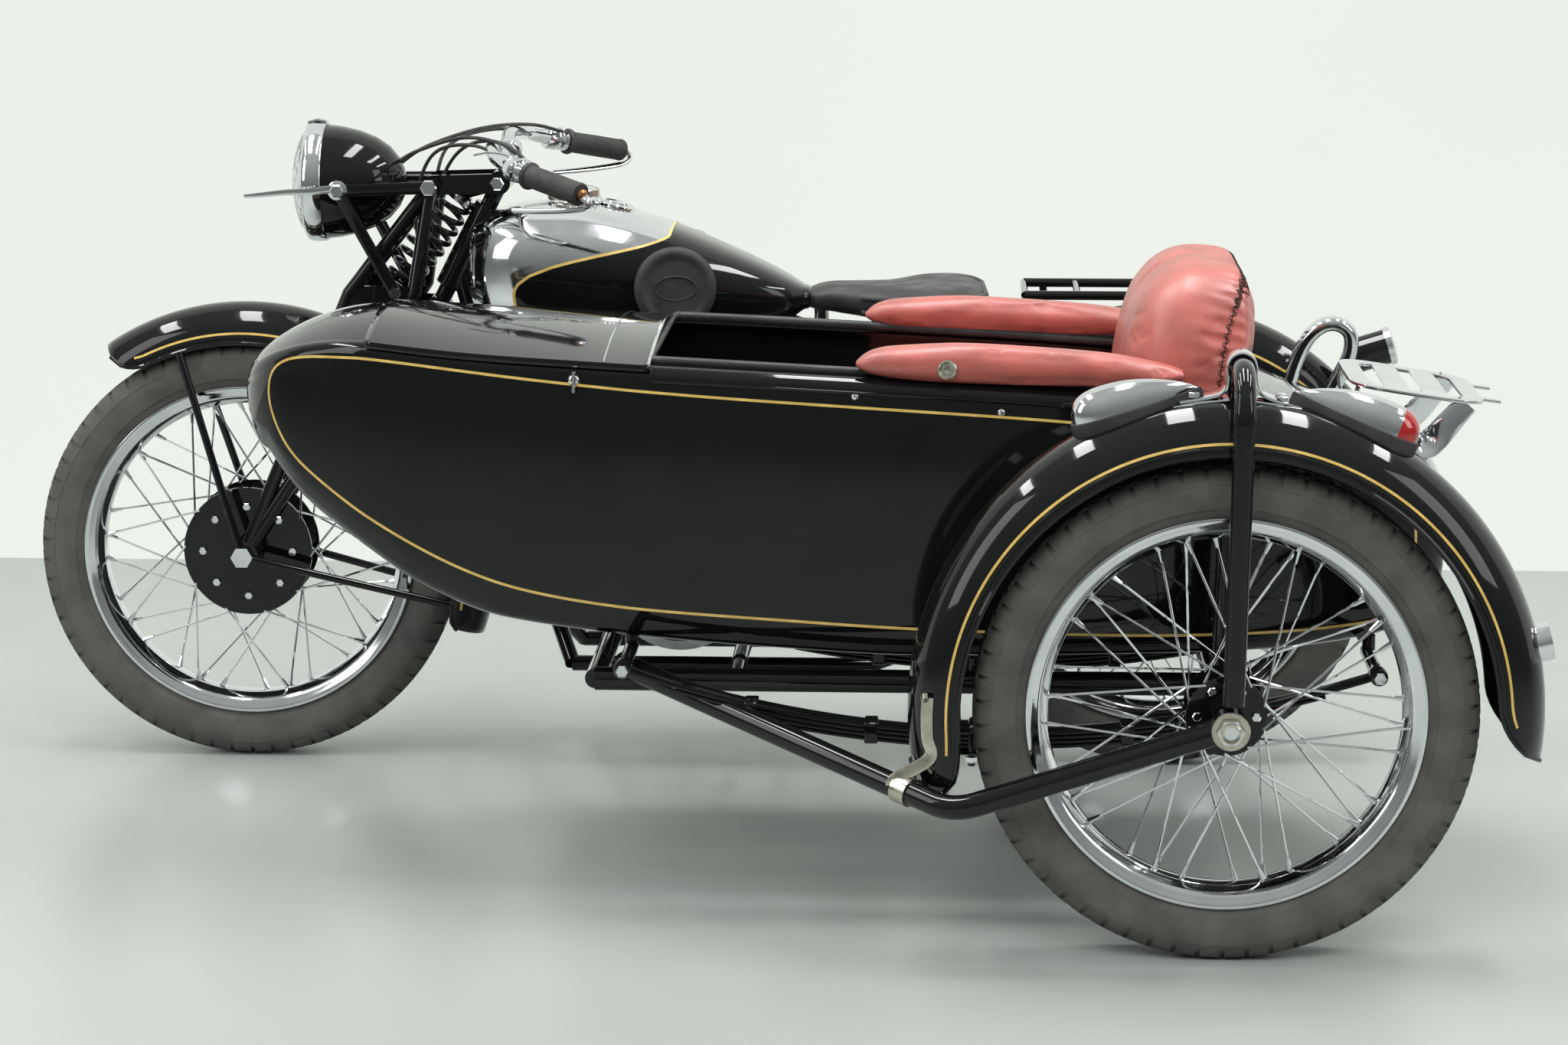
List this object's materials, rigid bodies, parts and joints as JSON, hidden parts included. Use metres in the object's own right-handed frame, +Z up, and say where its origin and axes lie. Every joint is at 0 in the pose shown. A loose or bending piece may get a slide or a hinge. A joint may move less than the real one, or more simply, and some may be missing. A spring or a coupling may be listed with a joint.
{
  "type": "sidecar motorcycle",
  "caption": "Black girder-fork motorcycle of the nineteen-thirties with a boat-shaped single-seat sidecar in red leather on its left.",
  "frame": {"origin": "on the ground under the middle of the bounding box", "axes": "+X forward, +Y to the left (the sidecar's side), +Z up"},
  "size_m": [2.1959, 1.5662, 0.99],
  "materials": {
    "painted_black": "gloss",
    "chrome": "polished",
    "tyre": "matt",
    "rubber": "matt",
    "red_leather": "satin",
    "black_leather": "satin",
    "aluminium": "satin",
    "cast_iron": "matt",
    "steel": "satin",
    "lamp_glass": "clear",
    "red_glass": "clear"
  },
  "bodies": {
    "chassis": {"frame": "painted_black", "crankcase": "aluminium", "cylinder": "cast_iron", "carburettor": "aluminium", "gearbox": "aluminium", "chaincase": "painted_black", "rear_chain": "steel", "exhaust": "chrome", "oil_tank": "painted_black", "battery": "rubber", "fuel_tank": "painted_black", "knee_grips": "rubber", "saddle": "black_leather", "saddle_springs": "chrome", "carrier": "painted_black", "lifting_handle": "chrome", "tail_lamp": "painted_black", "rear_mudguard": "painted_black", "rear_axle": "steel", "sidecar_chassis": "painted_black", "wheel_hoop": "painted_black", "leaf_springs": "painted_black", "sidecar_arms": "painted_black", "sidecar_tub": "painted_black", "deck_panel": "painted_black", "seat_cushion": "red_leather", "backrest": "red_leather", "armrest_left": "red_leather", "armrest_right": "red_leather", "luggage_rack": "chrome", "sidecar_mudguard": "painted_black", "guard_lamps": "chrome", "reflector": "chrome", "sidecar_axle": "chrome"},
    "fork": {"steering_links": "painted_black", "girder": "painted_black", "fork_spring": "painted_black", "handlebar": "chrome", "grips": "rubber", "headlamp_shell": "painted_black", "headlamp_rim": "chrome", "headlamp_lens": "lamp_glass", "headlamp_bracket": "painted_black", "front_mudguard": "painted_black", "front_stays": "painted_black", "front_axle": "chrome"},
    "front_wheel": {"front_tyre": "tyre", "front_rim": "chrome", "front_spokes": "chrome", "front_hub": "painted_black"},
    "rear_wheel": {"rear_tyre": "tyre", "rear_rim": "chrome", "rear_spokes": "chrome", "rear_hub": "painted_black"},
    "sidecar_wheel": {"sidecar_tyre": "tyre", "sidecar_rim": "chrome", "sidecar_spokes": "chrome", "sidecar_hub": "painted_black"}
  },
  "joints": [
    {"name": "steering", "type": "hinge", "parent": "chassis", "child": "fork", "pos_m": [0.42538, -0.41586, 0.8], "axis": [-0.454, 0, 0.891], "range_deg": [-30, 30]},
    {"name": "front_spin", "type": "hinge", "parent": "fork", "child": "front_wheel", "pos_m": [0.772, -0.41586, 0.326], "axis": [0, 1, 0], "continuous": true},
    {"name": "rear_spin", "type": "hinge", "parent": "chassis", "child": "rear_wheel", "pos_m": [-0.638, -0.41586, 0.326], "axis": [0, 1, 0], "continuous": true},
    {"name": "sidecar_spin", "type": "hinge", "parent": "chassis", "child": "sidecar_wheel", "pos_m": [-0.678, 0.65014, 0.326], "axis": [0, 1, 0], "continuous": true}
  ]
}
